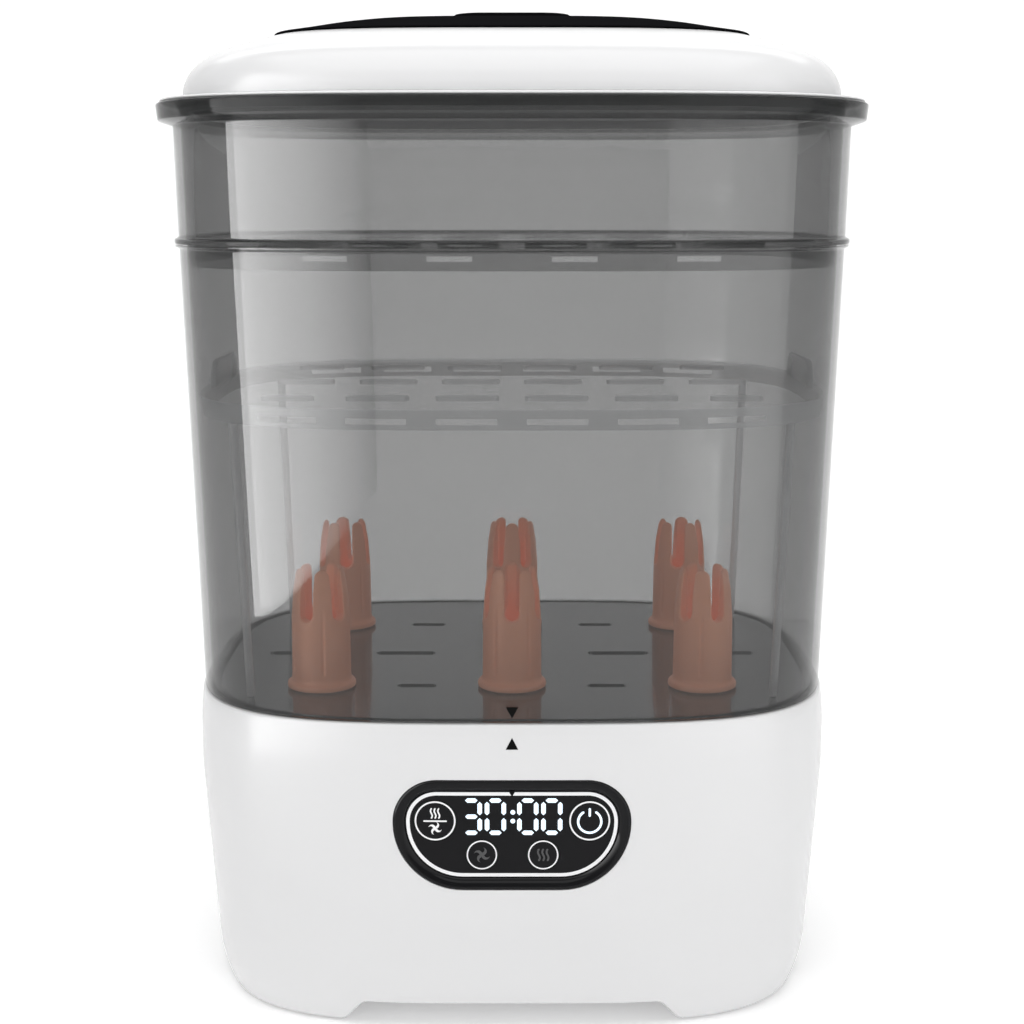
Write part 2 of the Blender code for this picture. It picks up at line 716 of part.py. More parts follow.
def upper_chamber():
    walls = [
        (294.3, 119.2), (286.4, 119), (286.4, 121.1), (294.8, 121.7), (294.8, 126.4),
        (296.5, 126.4), (297.3, 124.9), (338.4, 125.8), (340.2, 131), (345.8, 131.6),
        (346.4, 131), (346.4, 124.4), (342, 123), (296.4, 122.1),
    ]
    chamber = loft("upper_chamber", [level(z * MM, half * MM) for z, half in walls], SMOKE)
    for column in range(6):
        for row in range(3):
            place = ((column - 2.5) * 34 * MM, (row - 1) * 48 * MM)
            cut(chamber, slot("floor_slot_cutter", place, 23 * MM, 6 * MM, 292 * MM, 298 * MM))
    for x in (-66, -22, 22, 66):
        window = ((x - 8) * MM, -115 * MM, 289.6 * MM), ((x + 8) * MM, 115 * MM, 291.6 * MM)
        cut(chamber, box("ring_window_cutter", *window))


def lid_liner():
    rings = [
        (346.7, 118.4), (343.2, 118.3), (343.2, 120.4), (346.7, 121.2), (346.7, 129.8),
        (347.1, 130.3), (347.5, 130.1), (348, 127),
    ]
    liner = loft("lid_liner", [level(z * MM, half * MM) for z, half in rings], WHITE)
    for x in (-24, -8, 8, 24):
        vent = slot("liner_vent_cutter", (x * MM, 0), 30 * MM, 5 * MM, 345 * MM, 355 * MM, along="Y")
        cut(liner, vent)


def lid_cover():
    """The white dome: a shell on the liner, open in the middle under the black top."""
    rings = [
        (348.3, 121.9), (351.3, 121.8), (355.2, 120.6), (359.2, 118.2), (362.6, 114.6), (365.6, 108.8),
        (368.1, 102), (370.3, 95.2), (372.2, 88.4), (373.2, 80), (370.4, 80), (367.6, 95),
        (361.2, 111), (355, 117.6), (348.3, 119),
    ]
    loft("lid_cover", [level(z * MM, half * MM) for z, half in rings], WHITE, tube=True)


def lid_top():
    """The glossy black top, seated on the dome, with a raised vent cap in its middle."""
    rings = [
        (366, 77), (366, 79.4), (373.7, 79.4), (372.6, 88.2), (373.3, 88.1), (375.1, 79), (377.5, 68),
        (379.8, 54), (381, 42),
    ]
    panel = loft("lid_top_panel", [level(z * MM, half * MM) for z, half in rings], GLOSS_BLACK)
    hollow = [level(z * MM, half * MM) for z, half in ((360, 76), (372.6, 74.6), (378, 46))]
    cut(panel, loft("top_hollow_cutter", hollow))
    cut(panel, cylinder("vent_hole_cutter", (0, 0, 360 * MM), 18 * MM, 30 * MM))
    outline = rounded_outline(22.6 * MM, -22.6 * MM, 22.6 * MM, 11 * MM, 11 * MM, 4)
    cap = extruded("vent_cap", outline, 381.3 * MM, TOTAL_HEIGHT, GLOSS_BLACK)
    stub = cylinder("cap_stub", (0, 0, 374 * MM), 17.4 * MM, 8 * MM)
    join(cap, stub)
    for x in (-14, -5, 5, 14):
        vent = slot("cap_slot_cutter", (x * MM, 0), 20 * MM, 3 * MM, 370 * MM, 390 * MM, along="Y")
        cut(cap, vent)


# ---------------------------------------------------------------- the assembly

def build():
    base_shell()
    base_deck()
    bottom_plate()
    bottom_screws()
    foot_pads()
    heating_parts()
    blower()
    fan_impeller()
    air_path()
    boards()
    control_panel()
    display_parts()
    filter_parts()
    filter_cover()
    cord_gland()
    lower_chamber()
    bottle_rack()
    prongs()
    nipple_tray()
    tray_legs()
    upper_chamber()
    lid_liner()
    lid_cover()
    lid_top()


build()
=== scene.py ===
"""Looks of the bottle sterilizer: fine surfaces, materials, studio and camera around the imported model."""

import json
import math

import bmesh
import bpy
from mathutils import Matrix, Vector


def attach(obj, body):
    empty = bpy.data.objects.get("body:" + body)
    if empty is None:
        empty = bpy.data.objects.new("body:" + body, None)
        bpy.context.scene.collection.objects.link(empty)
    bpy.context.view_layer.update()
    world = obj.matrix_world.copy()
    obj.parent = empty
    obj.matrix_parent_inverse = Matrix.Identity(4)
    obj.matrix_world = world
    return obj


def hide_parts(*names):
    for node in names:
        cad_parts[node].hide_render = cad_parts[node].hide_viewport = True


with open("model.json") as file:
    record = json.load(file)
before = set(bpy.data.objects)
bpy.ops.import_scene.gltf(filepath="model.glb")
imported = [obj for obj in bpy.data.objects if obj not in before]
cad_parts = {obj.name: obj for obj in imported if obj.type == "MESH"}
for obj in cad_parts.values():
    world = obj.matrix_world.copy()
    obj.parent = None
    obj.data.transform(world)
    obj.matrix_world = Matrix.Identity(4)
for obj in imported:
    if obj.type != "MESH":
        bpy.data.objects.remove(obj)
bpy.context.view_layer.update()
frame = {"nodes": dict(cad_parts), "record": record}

MM = 0.001
PLAN_POWER = 3.5
WIDER = 4.2 * MM
SHALLOWER = 17.3 * MM
BASE_HALF = 121.9 * MM
BASE_TOP = 121.3 * MM
RACK_TOP = 121.6 * MM
PRONG_PITCH = 75.2 * MM
PRONG_ROW = 51 * MM
PRONG_TOP = 170.1 * MM
FINGERS = 5
FINE = 240
SHARP = 35


# ---------------------------------------------------------------- materials

def new_material(name):
    made = bpy.data.materials.new(name)
    made.use_nodes = True
    nodes = made.node_tree.nodes
    return made, nodes, made.node_tree.links, nodes["Principled BSDF"]


def mottle(nodes, links, scale, low, high, detail=3.0):
    """A noise between two numbers, in the object's own coordinates."""
    place = nodes.new("ShaderNodeTexCoord")
    noise = nodes.new("ShaderNodeTexNoise")
    noise.inputs["Scale"].default_value = scale
    noise.inputs["Detail"].default_value = detail
    span = nodes.new("ShaderNodeMapRange")
    span.inputs["To Min"].default_value = low
    span.inputs["To Max"].default_value = high
    links.new(place.outputs["Object"], noise.inputs["Vector"])
    links.new(noise.outputs["Fac"], span.inputs["Value"])
    return span.outputs["Result"]


def add_bump(nodes, links, shader, scale, strength, distance, detail=2.0):
    grain = mottle(nodes, links, scale, 0, 1, detail)
    bump = nodes.new("ShaderNodeBump")
    bump.inputs["Strength"].default_value = strength
    bump.inputs["Distance"].default_value = distance
    links.new(grain, bump.inputs["Height"])
    links.new(bump.outputs["Normal"], shader.inputs["Normal"])


def two_tone(nodes, links, shader, first, second, scale):
    """Base colour drifting between two close colours."""
    mix = nodes.new("ShaderNodeMix")
    mix.data_type = "RGBA"
    mix.inputs["A"].default_value = (*first, 1)
    mix.inputs["B"].default_value = (*second, 1)
    links.new(mottle(nodes, links, scale, 0, 1), mix.inputs["Factor"])
    links.new(mix.outputs["Result"], shader.inputs["Base Color"])


def plastic(name, first, second, rough, grain=900, bump=0.05, tone_scale=12, coat=0.0,
            specular=0.5, metal=0.0):
    """Moulded plastic: two close tones, uneven polish and a fine skin texture."""
    made, nodes, links, shader = new_material(name)
    two_tone(nodes, links, shader, first, second, tone_scale)
    links.new(mottle(nodes, links, 60, rough * 0.85, rough * 1.15), shader.inputs["Roughness"])
    shader.inputs["Specular IOR Level"].default_value = specular
    shader.inputs["Metallic"].default_value = metal
    shader.inputs["Coat Weight"].default_value = coat
    shader.inputs["Coat Roughness"].default_value = 0.04
    add_bump(nodes, links, shader, grain, bump, 0.0002)
    return made


def see_through(name, first, second, face_alpha, edge_alpha, rough, specular=0.5):
    """Clear or smoky plastic: thin where it faces the eye, denser towards its edges."""
    made, nodes, links, shader = new_material(name)
    two_tone(nodes, links, shader, first, second, 6)
    links.new(mottle(nodes, links, 30, rough * 0.8, rough * 1.3), shader.inputs["Roughness"])
    shader.inputs["Specular IOR Level"].default_value = specular
    facing = nodes.new("ShaderNodeLayerWeight")
    facing.inputs["Blend"].default_value = 0.35
    span = nodes.new("ShaderNodeMapRange")
    span.inputs["To Min"].default_value = face_alpha
    span.inputs["To Max"].default_value = edge_alpha
    links.new(facing.outputs["Facing"], span.inputs["Value"])
    links.new(span.outputs["Result"], shader.inputs["Alpha"])
    return made


def add_glow(made, color, strength):
    shader = made.node_tree.nodes["Principled BSDF"]
    shader.inputs["Emission Color"].default_value = (*color, 1)
    shader.inputs["Emission Strength"].default_value = strength


def glowing(name, color, strength):
    """Lit print, a little uneven as light behind a mask is."""
    made, nodes, links, shader = new_material(name)
    two_tone(nodes, links, shader, color, [0.9 * c for c in color], 300)
    shader.inputs["Roughness"].default_value = 0.3
    add_glow(made, color, strength)
    return made


WHITE = plastic("white_moulded", (0.79, 0.79, 0.795), (0.77, 0.77, 0.775), 0.24, bump=0.03, specular=0.3)
SMOKE = see_through("smoky_wall", (0.030, 0.031, 0.031), (0.025, 0.026, 0.026), 0.32, 0.62, 0.03, 1.0)
# Painted shade: denser, darker smoke for the upper rim, standing in for the shaded inside of the lid seen
# through it; the bead below gets the same darker smoke.
SMOKE_RIM_SHADE = see_through("smoky_rim_painted_shade", (0.020, 0.021, 0.021), (0.016, 0.017, 0.017), 0.60, 0.85, 0.08, 0.12)
RACK = plastic("rack_smoky", (0.022, 0.023, 0.025), (0.017, 0.018, 0.02), 0.16, bump=0.02, coat=0.4)
CLEAR = see_through("clear_tray", (0.70, 0.72, 0.73), (0.64, 0.66, 0.67), 0.07, 0.15, 0.05, 1.0)
# Whitish clear plastic for upright faces, ears and legs: denser, as clear plastic seen edge-on is, and
# whitened as a painted highlight along its edges.
CLEAR_EDGE_HIGHLIGHT = see_through("clear_edge_painted_highlight", (0.92, 0.94, 0.95), (0.86, 0.88, 0.89), 0.42, 0.75, 0.08, 1.0)
TOP_BLACK = plastic("satin_black", (0.006, 0.006, 0.007), (0.010, 0.010, 0.011), 0.25, specular=0.0)
BLACK = plastic("gloss_black", (0.005, 0.005, 0.006), (0.009, 0.009, 0.010), 0.10, bump=0.01, specular=0.16)
LENS = plastic("lens_black", (0.006, 0.006, 0.007), (0.010, 0.010, 0.011), 0.12, bump=0.01, specular=0.12)
SILICONE = plastic("terracotta", (1.0, 0.46, 0.27), (0.95, 0.42, 0.24), 0.42, bump=0.10, tone_scale=40)
# Painted light: a faint orange glow lifts the prongs, standing in for light that the smoky walls keep from
# them.
add_glow(SILICONE, (1.0, 0.41, 0.23), 0.10)
STEEL = plastic("brushed_steel", (0.62, 0.62, 0.61), (0.54, 0.54, 0.54), 0.28, metal=1.0, bump=0.05)
RUBBER = plastic("rubber_pad", (0.03, 0.03, 0.03), (0.045, 0.045, 0.045), 0.75, grain=1400, bump=0.25)
GREY = plastic("grey_moulded", (0.16, 0.16, 0.165), (0.13, 0.13, 0.135), 0.45, bump=0.12)
BOARD = plastic("board_green", (0.02, 0.14, 0.06), (0.015, 0.10, 0.045), 0.35, tone_scale=90)
PAPER = plastic("filter_paper", (0.80, 0.80, 0.76), (0.72, 0.72, 0.67), 0.9, grain=700, bump=0.4)
PRINT_BLACK = plastic("print_black", (0.006, 0.006, 0.006), (0.01, 0.01, 0.01), 0.4, specular=0.0)
PRINT_WHITE = plastic("print_white", (0.95, 0.95, 0.96), (0.90, 0.90, 0.91), 0.35, bump=0.02)
PRINT_DIM = plastic("print_dim", (0.07, 0.07, 0.072), (0.055, 0.055, 0.057), 0.35, bump=0.02)
LIT = glowing("lit_segments", (0.76, 0.89, 1.0), 0.6)


# ---------------------------------------------------------------- mesh helpers

def add(name, bm, finish, body, replaces=(), sharp=SHARP):
    """Makes a piece from a bmesh and says what it rides on and what it stands for."""
    bmesh.ops.recalc_face_normals(bm, faces=bm.faces)
    mesh = bpy.data.meshes.new(name)
    bm.to_mesh(mesh)
    bm.free()
    mesh.materials.append(finish)
    mesh.shade_smooth()
    mesh.set_sharp_from_angle(angle=math.radians(sharp))
    piece = bpy.data.objects.new(name, mesh)
    bpy.context.scene.collection.objects.link(piece)
    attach(piece, body)
    if replaces:
        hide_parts(*replaces)
    return piece


def tool(name, bm):
    """A cutter, dropped once it has cut."""
    bmesh.ops.recalc_face_normals(bm, faces=bm.faces)
    mesh = bpy.data.meshes.new(name)
    bm.to_mesh(mesh)
    bm.free()
    made = bpy.data.objects.new(name, mesh)
    bpy.context.scene.collection.objects.link(made)
    return made


def apply_modifiers(piece):
    graph = bpy.context.evaluated_depsgraph_get()
    mesh = bpy.data.meshes.new_from_object(piece.evaluated_get(graph))
    piece.modifiers.clear()
    old = piece.data
    piece.data = mesh
    bpy.data.meshes.remove(old)


def cut(piece, cutters):
    """Takes the cutters away from a piece and drops them."""
    for cutter in cutters:
        step = piece.modifiers.new("cut", "BOOLEAN")
        step.operation = "DIFFERENCE"
        step.object = cutter
        step.solver = "EXACT"
    apply_modifiers(piece)
    for cutter in cutters:
        bpy.data.objects.remove(cutter)
    piece.data.shade_smooth()
    piece.data.set_sharp_from_angle(angle=math.radians(SHARP))


def soften(piece, width):
    """Rounds the edges that the cuts left."""
    rounded = piece.modifiers.new("rounded", "BEVEL")
    rounded.width = width
    rounded.segments = 2
    rounded.limit_method = "ANGLE"
    rounded.angle_limit = math.radians(SHARP)
    apply_modifiers(piece)
    piece.data.shade_smooth()
    piece.data.set_sharp_from_angle(angle=math.radians(50))


def fillet(profile):
    """Rounds a closed profile. Each corner is (first, second, radius)."""
    found = []
    steps = 3
    count = len(profile)
    for index, (x, y, radius) in enumerate(profile):
        here = Vector((x, y))
        before = Vector(profile[index - 1][:2]) - here
        after = Vector(profile[(index + 1) % count][:2]) - here
        reach = min(radius, before.length * 0.45, after.length * 0.45)
        if reach < 1e-6:
            found.append((x, y))
            continue
        first = here + before.normalized() * reach
        last = here + after.normalized() * reach
        for step in range(steps + 1):
            t = step / steps
            point = first * (1 - t) ** 2 + here * 2 * t * (1 - t) + last * t * t
            found.append((point.x, point.y))
    return found


def arc(middle, radius, start, end, steps):
    found = []
    for step in range(steps + 1):
        angle = math.radians(start + (end - start) * step / steps)
        found.append((middle[0] + radius * math.cos(angle), middle[1] + radius * math.sin(angle)))
    return found


def loft(levels, tube=True):
    """Skins rings of points. A tube joins the last ring to the first, and else both ends are capped."""
    bm = bmesh.new()
    rows = [[bm.verts.new(point) for point in ring] for ring in levels]
    pairs = list(zip(rows, rows[1:]))
    if tube:
        pairs.append((rows[-1], rows[0]))
    for lower, upper in pairs:
        for index in range(len(lower)):
            after = (index + 1) % len(lower)
            bm.faces.new((lower[index], lower[after], upper[after], upper[index]))
    if not tube:
        bm.faces.new(rows[0][::-1])
        bm.faces.new(rows[-1])
    return bm


def plan_radius(angle, half):
    x = abs(math.cos(angle)) / (half + WIDER)
    y = abs(math.sin(angle)) / (half - SHALLOWER)
    return (x**PLAN_POWER + y**PLAN_POWER) ** (-1 / PLAN_POWER)


def level(half, height):
    """One ring of the plan. Half size and height are in millimetres."""
    found = []
    for index in range(FINE):
        angle = math.tau * index / FINE
        reach = plan_radius(angle, half * MM)
        found.append((reach * math.cos(angle), reach * math.sin(angle), height * MM))
    return found


def wall_loft(profile, tube=True):
    """A wall from corners of (height, half size, rounding), in millimetres."""
    rounded = fillet([(half, height, radius) for height, half, radius in profile])
    return loft([level(half, height) for half, height in rounded], tube)


def slab(outline, low, high, axis="Z"):
    """A flat outline as a solid, along Z or along Y."""
    bm = bmesh.new()
    if axis == "Z":
        first = [bm.verts.new((x, y, low)) for x, y in outline]
        last = [bm.verts.new((x, y, high)) for x, y in outline]
    else:
        first = [bm.verts.new((x, low, z)) for x, z in outline]
        last = [bm.verts.new((x, high, z)) for x, z in outline]
    count = len(outline)
    bm.faces.new(first[::-1])
    bm.faces.new(last)
    for index in range(count):
        after = (index + 1) % count
        bm.faces.new((first[index], first[after], last[after], last[index]))
    return bm


def rounded_outline(half, low, high, low_radius, high_radius, steps=12):
    corners = (
        ((half - high_radius, high - high_radius), high_radius, 0),
        ((-half + high_radius, high - high_radius), high_radius, 90),
        ((-half + low_radius, low + low_radius), low_radius, 180),
        ((half - low_radius, low + low_radius), low_radius, 270),
    )
    found = []
    for middle, radius, start in corners:
        found += arc(middle, radius, start, start + 90, steps)
    return found


def capsule(at, length, width, along="X", steps=8):
    """The outline of a slot with round ends."""
    reach = length / 2 - width / 2
    outline = arc((reach, 0), width / 2, -90, 90, steps) + arc((-reach, 0), width / 2, 90, 270, steps)
    if along == "Y":
        outline = [(-y, x) for x, y in outline]
    return [(x + at[0], y + at[1]) for x, y in outline]


def turned(profile, steps, at=(0, 0)):
    """A turned solid from (radius, height), its profile on the axis at both ends."""
    bm = bmesh.new()
    rows = []
    for radius, height in profile:
        if radius < 1e-7:
            rows.append([bm.verts.new((at[0], at[1], height))])
            continue
        row = []
        for index in range(steps):
            angle = math.tau * index / steps
            x = at[0] + radius * math.cos(angle)
            y = at[1] + radius * math.sin(angle)
            row.append(bm.verts.new((x, y, height)))
        rows.append(row)
    for first, second in zip(rows, rows[1:]):
        for index in range(steps):
            after = (index + 1) % steps
            if len(first) == 1 and len(second) > 1:
                bm.faces.new((first[0], second[index], second[after]))
            elif len(second) == 1 and len(first) > 1:
                bm.faces.new((first[index], second[0], first[after]))
            elif len(first) > 1:
                bm.faces.new((first[index], second[index], second[after], first[after]))
    return bm


# ---------------------------------------------------------------- base

CREASE_FRONT = 45 * MM
CREASE_SIDE = 103 * MM
SHOULDER = 105 * MM
SOLE_ROUND = 20 * MM
ARCH_HEIGHT = 10 * MM
SOLE = 0.8 * MM
BASE_WALL = 3 * MM
CORD_HOLE = Vector((-70 * MM, 95 * MM, 27 * MM))
SIDE_ARCH_SHARE = 0.78


def smoothstep(low, high, value):
    share = min(max((value - low) / (high - low), 0), 1)
    return share * share * (3 - 2 * share)


def base_inset(angle, height):
    """How far the base wall stands in from its widest plan, above and below the curved crease."""
    from_front = math.degrees(math.atan2(abs(math.cos(angle)), abs(math.sin(angle))))
    share = smoothstep(15, 90, from_front)
    crease = CREASE_FRONT + (CREASE_SIDE - CREASE_FRONT) * share
    slope = 0.12 - 0.065 * share
    inset = slope * max(crease - height, 0)
    inset += 4 * MM * max(1 - height / SOLE_ROUND, 0) ** 2
    inset += 1.3 * MM * (max(height - SHOULDER, 0) / (BASE_TOP - SHOULDER)) ** 2
    return inset


def base_reach(angle, height):
    return plan_radius(angle, BASE_HALF) - base_inset(angle, height)


def hem(x, y):
    """Height of the lower edge here: the foot's sole, or the arch between two feet."""
    if abs(y) > abs(x) * 0.62:
        near, far, across = 54.5 * MM, 67.5 * MM, abs(x)
    else:
        near, far, across = 42.5 * MM, 53 * MM, abs(y)
    return SOLE + (ARCH_HEIGHT - SOLE) * (1 - smoothstep(near, far, across))


def base_skin():
    """The white wall as one rounded shell that ends in the arches and the feet."""
    points = 2 * FINE
    count = 44
    edge = 1.2 * MM
    top_edge = BASE_TOP - 0.9 * MM
    columns = []
    for index in range(points):
        angle = math.tau * index / points
        flat = base_reach(angle, 5 * MM)
        low = hem(flat * math.cos(angle), flat * math.sin(angle))
        rows = []
        for step in range(count + 1):
            share = (step / count) ** 0.9
            height = top_edge + (low + edge - top_edge) * share
            rows.append((base_reach(angle, height), height))
        foot = base_reach(angle, low + edge)
        rows += [(foot - 0.35 * MM, low + 0.4 * MM), (foot - edge, low), (foot - 2.2 * MM, low)]
        rows.append((foot - BASE_WALL, low + 0.6 * MM))
        rows += [(base_reach(angle, h * MM) - BASE_WALL, h * MM) for h in (20, 45, 70, 100, 115)]
        top = base_reach(angle, BASE_TOP)
        rows += [(top - BASE_WALL, BASE_TOP - 0.5 * MM), (top - BASE_WALL + 0.4 * MM, BASE_TOP)]
        rows += [(top - 0.9 * MM, BASE_TOP), (top - 0.25 * MM, BASE_TOP - 0.3 * MM)]
        columns.append([(r * math.cos(angle), r * math.sin(angle), z) for r, z in rows])
    levels = [[column[row] for column in columns] for row in range(len(columns[0]))]
    skin = add("base_body", loft(levels), WHITE, "base")
    window = tool("window", slab(panel_outline(0), -0.12, -0.09, "Y"))
    vent = rounded_outline(39 * MM, 42 * MM, 88 * MM, 5 * MM, 5 * MM)
    port = tool("port", slab(vent, 0.085, 0.12, "Y"))
    radius, reach = 4.8 * MM, 20 * MM
    hole = turned([(0, -reach), (radius, -reach), (radius, reach), (0, reach)], 40)
    bmesh.ops.rotate(hole, verts=hole.verts, matrix=Matrix.Rotation(math.pi / 2, 3, "X"))
    bmesh.ops.translate(hole, verts=hole.verts, vec=CORD_HOLE)
    cut(skin, [window, port, tool("cord_hole", hole)])


def base_underside():
    """The floor of the base with the four feet, cut as the housing is."""
    levels = []
    for height in (0.9, 4, 8, 12, 14):
        ring = []
        for index in range(FINE):
            angle = math.tau * index / FINE
            reach = base_reach(angle, height * MM) - 2.4 * MM
            ring.append((reach * math.cos(angle), reach * math.sin(angle), height * MM))
        levels.append(ring)
    floor = add("base_floor", loft(levels, tube=False), WHITE, "base")
    arch = [(-67, -1), (67, -1), (64, 2), (60, 8), (57, 10), (-57, 10), (-60, 8), (-64, 2)]
    front = tool("arch", slab([(x * MM, z * MM) for x, z in arch], -0.13, 0.13, "Y"))
    side = slab([(x * SIDE_ARCH_SHARE * MM, z * MM) for x, z in arch], -0.14, 0.14, "Y")
    bmesh.ops.rotate(side, verts=side.verts, matrix=Matrix.Rotation(math.pi / 2, 3, "Z"))
    pocket = rounded_outline(80 * MM, -60 * MM, 60 * MM, 3 * MM, 3 * MM, 4)
    rebate = rounded_outline(78 * MM, -58 * MM, 58 * MM, 3.4 * MM, 3.4 * MM, 4)
    opening = rounded_outline(73 * MM, -53 * MM, 53 * MM, 3 * MM, 3 * MM, 4)
    cutters = [front, tool("side", side)]
    cutters.append(tool("pocket", slab(pocket, -0.005, ARCH_HEIGHT)))
    cutters.append(tool("rebate", slab(rebate, 0.009, 0.0123)))
    cutters.append(tool("opening", slab(opening, 0.005, 0.02)))
    for x in (-89 * MM, 89 * MM):
        for y in (-66 * MM, 66 * MM):
            hole = turned([(0, -0.001), (8.3 * MM, -0.001), (8.3 * MM, 0.003), (0, 0.003)], 48, (x, y))
            cutters.append(tool("pad_hole", hole))
    cut(floor, cutters)
    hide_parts("base_shell")


# ---------------------------------------------------------------- control panel

PANEL_HALF = 44.25 * MM
PANEL_LOW = 57.8 * MM
PANEL_HIGH = 100.6 * MM
BEZEL_BAND = 4.7 * MM
LENS_DEPTH = -1.1 * MM
KEYS = {
    "key_mode": (-28.5 * MM, 84.5 * MM, 7.75 * MM),
    "key_power": (28.8 * MM, 84.5 * MM, 7.75 * MM),
    "key_dry": (-11.2 * MM, 71.3 * MM, 5.8 * MM),
    "key_steam": (11.6 * MM, 71.3 * MM, 5.8 * MM),
}


def panel_outline(inset, steps=16):
    half = PANEL_HALF - inset
    low_radius = 26 * MM - inset
    high_radius = max(16.3 * MM - inset, MM)
    return rounded_outline(half, PANEL_LOW + inset, PANEL_HIGH - inset, low_radius, high_radius, steps)


def front_y(x, z):
    """Y of the base's bowed front at this place."""
    turn = 0.0
    for _ in range(6):
        reach = base_reach(turn - math.pi / 2, z)
        turn = math.asin(x / reach)
    return -reach * math.cos(turn)


def drape(bm):
    """Lays flat work on the bowed front: y is read as the height above the surface."""
    for vert in bm.verts:
        vert.co.y = front_y(vert.co.x, vert.co.z) - vert.co.y


def slice_across(bm):
    """Gives wide flat faces enough points to bend."""
    step = 3 * MM
    reach = 15
    for index in range(-reach, reach + 1):
        geom = bm.verts[:] + bm.edges[:] + bm.faces[:]
        bmesh.ops.bisect_plane(bm, geom=geom, plane_co=(index * step, 0, 0), plane_no=(1, 0, 0))


def on_panel(name, bm, finish, body, replaces=()):
    slice_across(bm)
    drape(bm)
    add(name, bm, finish, body, replaces)


def bezel():
    """A rounded black frame that slopes in to the lens."""
    crown = [(0.25, -1.9), (0.25, 0.0), (0.5, 0.35), (1.0, 0.5)]
    slope = [(1.6, 0.42), (3.2, -0.15), (4.2, -0.75), (4.6, -1.3), (4.6, -1.9)]
    levels = []
    for inset, height in crown + slope:
        levels.append([(x, height * MM, z) for x, z in panel_outline(inset * MM)])
    bm = loft(levels)
    drape(bm)
    add("panel_frame", bm, BLACK, "base", ["panel_bezel"], sharp=60)


def prism(outline, low, high):
    """Flat work on the panel between two heights above its surface."""
    return slab(outline, low, high, "Y")


def ring_strip(outer, inner, low, high):
    """A closed band between two outlines of the same count."""
    levels = [
        [(x, low, z) for x, z in outer], [(x, high, z) for x, z in outer],
        [(x, high, z) for x, z in inner], [(x, low, z) for x, z in inner],
    ]
    return loft(levels)


def circle(at, radius, steps=64):
    return arc(at, radius, 0, 360 - 360 / steps, steps - 1)


def lens():
    bm = prism(panel_outline(BEZEL_BAND), LENS_DEPTH - 0.8 * MM, LENS_DEPTH)
    slice_across(bm)
    piece = add("panel_glass", bm, LENS, "base")
    holes = []
    for name, (x, z, radius) in KEYS.items():
        holes.append(tool(name, prism(circle((x, z), radius + 0.3 * MM), -5 * MM, 5 * MM)))
    cut(piece, holes)
    bm = bmesh.new()
    bm.from_mesh(piece.data)
    drape(bm)
    bm.to_mesh(piece.data)
    bm.free()
    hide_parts("panel_lens")


def printed(name, bm, finish, body="base"):
    """A thin print on the base, the lens or a key."""
    on_panel(name, bm, finish, body)


def lens_line():
    """The white line round the lens, with a small break at its top."""
    top = LENS_DEPTH + 0.06 * MM
    line = ring_strip(panel_outline(5.0 * MM), panel_outline(6.3 * MM), LENS_DEPTH, top)
    printed("lens_line", line, PRINT_WHITE)
    high = PANEL_HIGH - 4.9 * MM
    notch = [(-1.1 * MM, high), (0, high - 1.9 * MM), (1.1 * MM, high)]
    printed("lens_tick", prism(notch, LENS_DEPTH, top + 0.04 * MM), PRINT_BLACK)


SEGMENT = 1.7 * MM
DIGIT_WIDE = 7.9 * MM
DIGIT_HIGH = 14.2 * MM
DIGITS_LOW = 79.05 * MM
SEGMENTS = {
    "top": (0.5, 1, 0), "middle": (0.5, 0.5, 0), "bottom": (0.5, 0, 0),
    "high_left": (0, 0.75, 1), "high_right": (1, 0.75, 1),
    "low_left": (0, 0.25, 1), "low_right": (1, 0.25, 1),
}
FIGURES = {
    "3": ("top", "middle", "bottom", "high_right", "low_right"),
    "0": ("top", "bottom", "high_left", "high_right", "low_left", "low_right"),
}


def segment(x, z, length, upright):
    """One bar of a digit, with pointed ends."""
    half = length / 2
    thick = SEGMENT / 2
    right = [(half - thick, thick), (half, 0), (half - thick, -thick)]
    outline = right + [(-a, b) for a, b in reversed(right)]
    if upright:
        outline = [(-b, a) for a, b in outline]
    return [(x + a, z + b) for a, b in outline]


def display():
    """Four figures and a colon, lit."""
    low = LENS_DEPTH + 0.01 * MM
    high = LENS_DEPTH + 0.07 * MM
    joined = bmesh.new()
    width = DIGIT_WIDE - SEGMENT
    height = DIGIT_HIGH - SEGMENT
    for figure, left in (("3", -19 * MM), ("0", -10.1 * MM), ("0", 1.9 * MM), ("0", 10.8 * MM)):
        for part in FIGURES[figure]:
            across, up, upright = SEGMENTS[part]
            x = left + SEGMENT / 2 + across * width
            z = DIGITS_LOW + SEGMENT / 2 + up * height
            length = height / 2 - 1.1 * MM if upright else width - 1.6 * MM
            merge(joined, prism(segment(x, z, length, upright), low, high))
    for up in (0.38, 0.62):
        merge(joined, prism(circle((0.3 * MM, DIGITS_LOW + DIGIT_HIGH * up), 0.9 * MM, 20), low, high))
    printed("display_figures", joined, LIT)


def merge(target, source):
    """Puts the source's faces into the target and frees the source."""
    mesh = bpy.data.meshes.new("merge")
    source.to_mesh(mesh)
    source.free()
    target.from_mesh(mesh)
    bpy.data.meshes.remove(mesh)


def ribbon(points, width):
    """The outline of a line of even width along points, with round ends."""
    left, right = [], []
    for index, point in enumerate(points):
        here = Vector(point)
        before = Vector(points[max(index - 1, 0)])
        after = Vector(points[min(index + 1, len(points) - 1)])
        side = (after - before).normalized()
        side = Vector((-side.y, side.x)) * width / 2
        left.append(here + side)
        right.append(here - side)
    start = Vector(points[0]) - (Vector(points[1]) - Vector(points[0])).normalized() * width * 0.4
    end = Vector(points[-1]) + (Vector(points[-1]) - Vector(points[-2])).normalized() * width * 0.4
    return [(p.x, p.y) for p in [start] + left + [end] + right[::-1]]


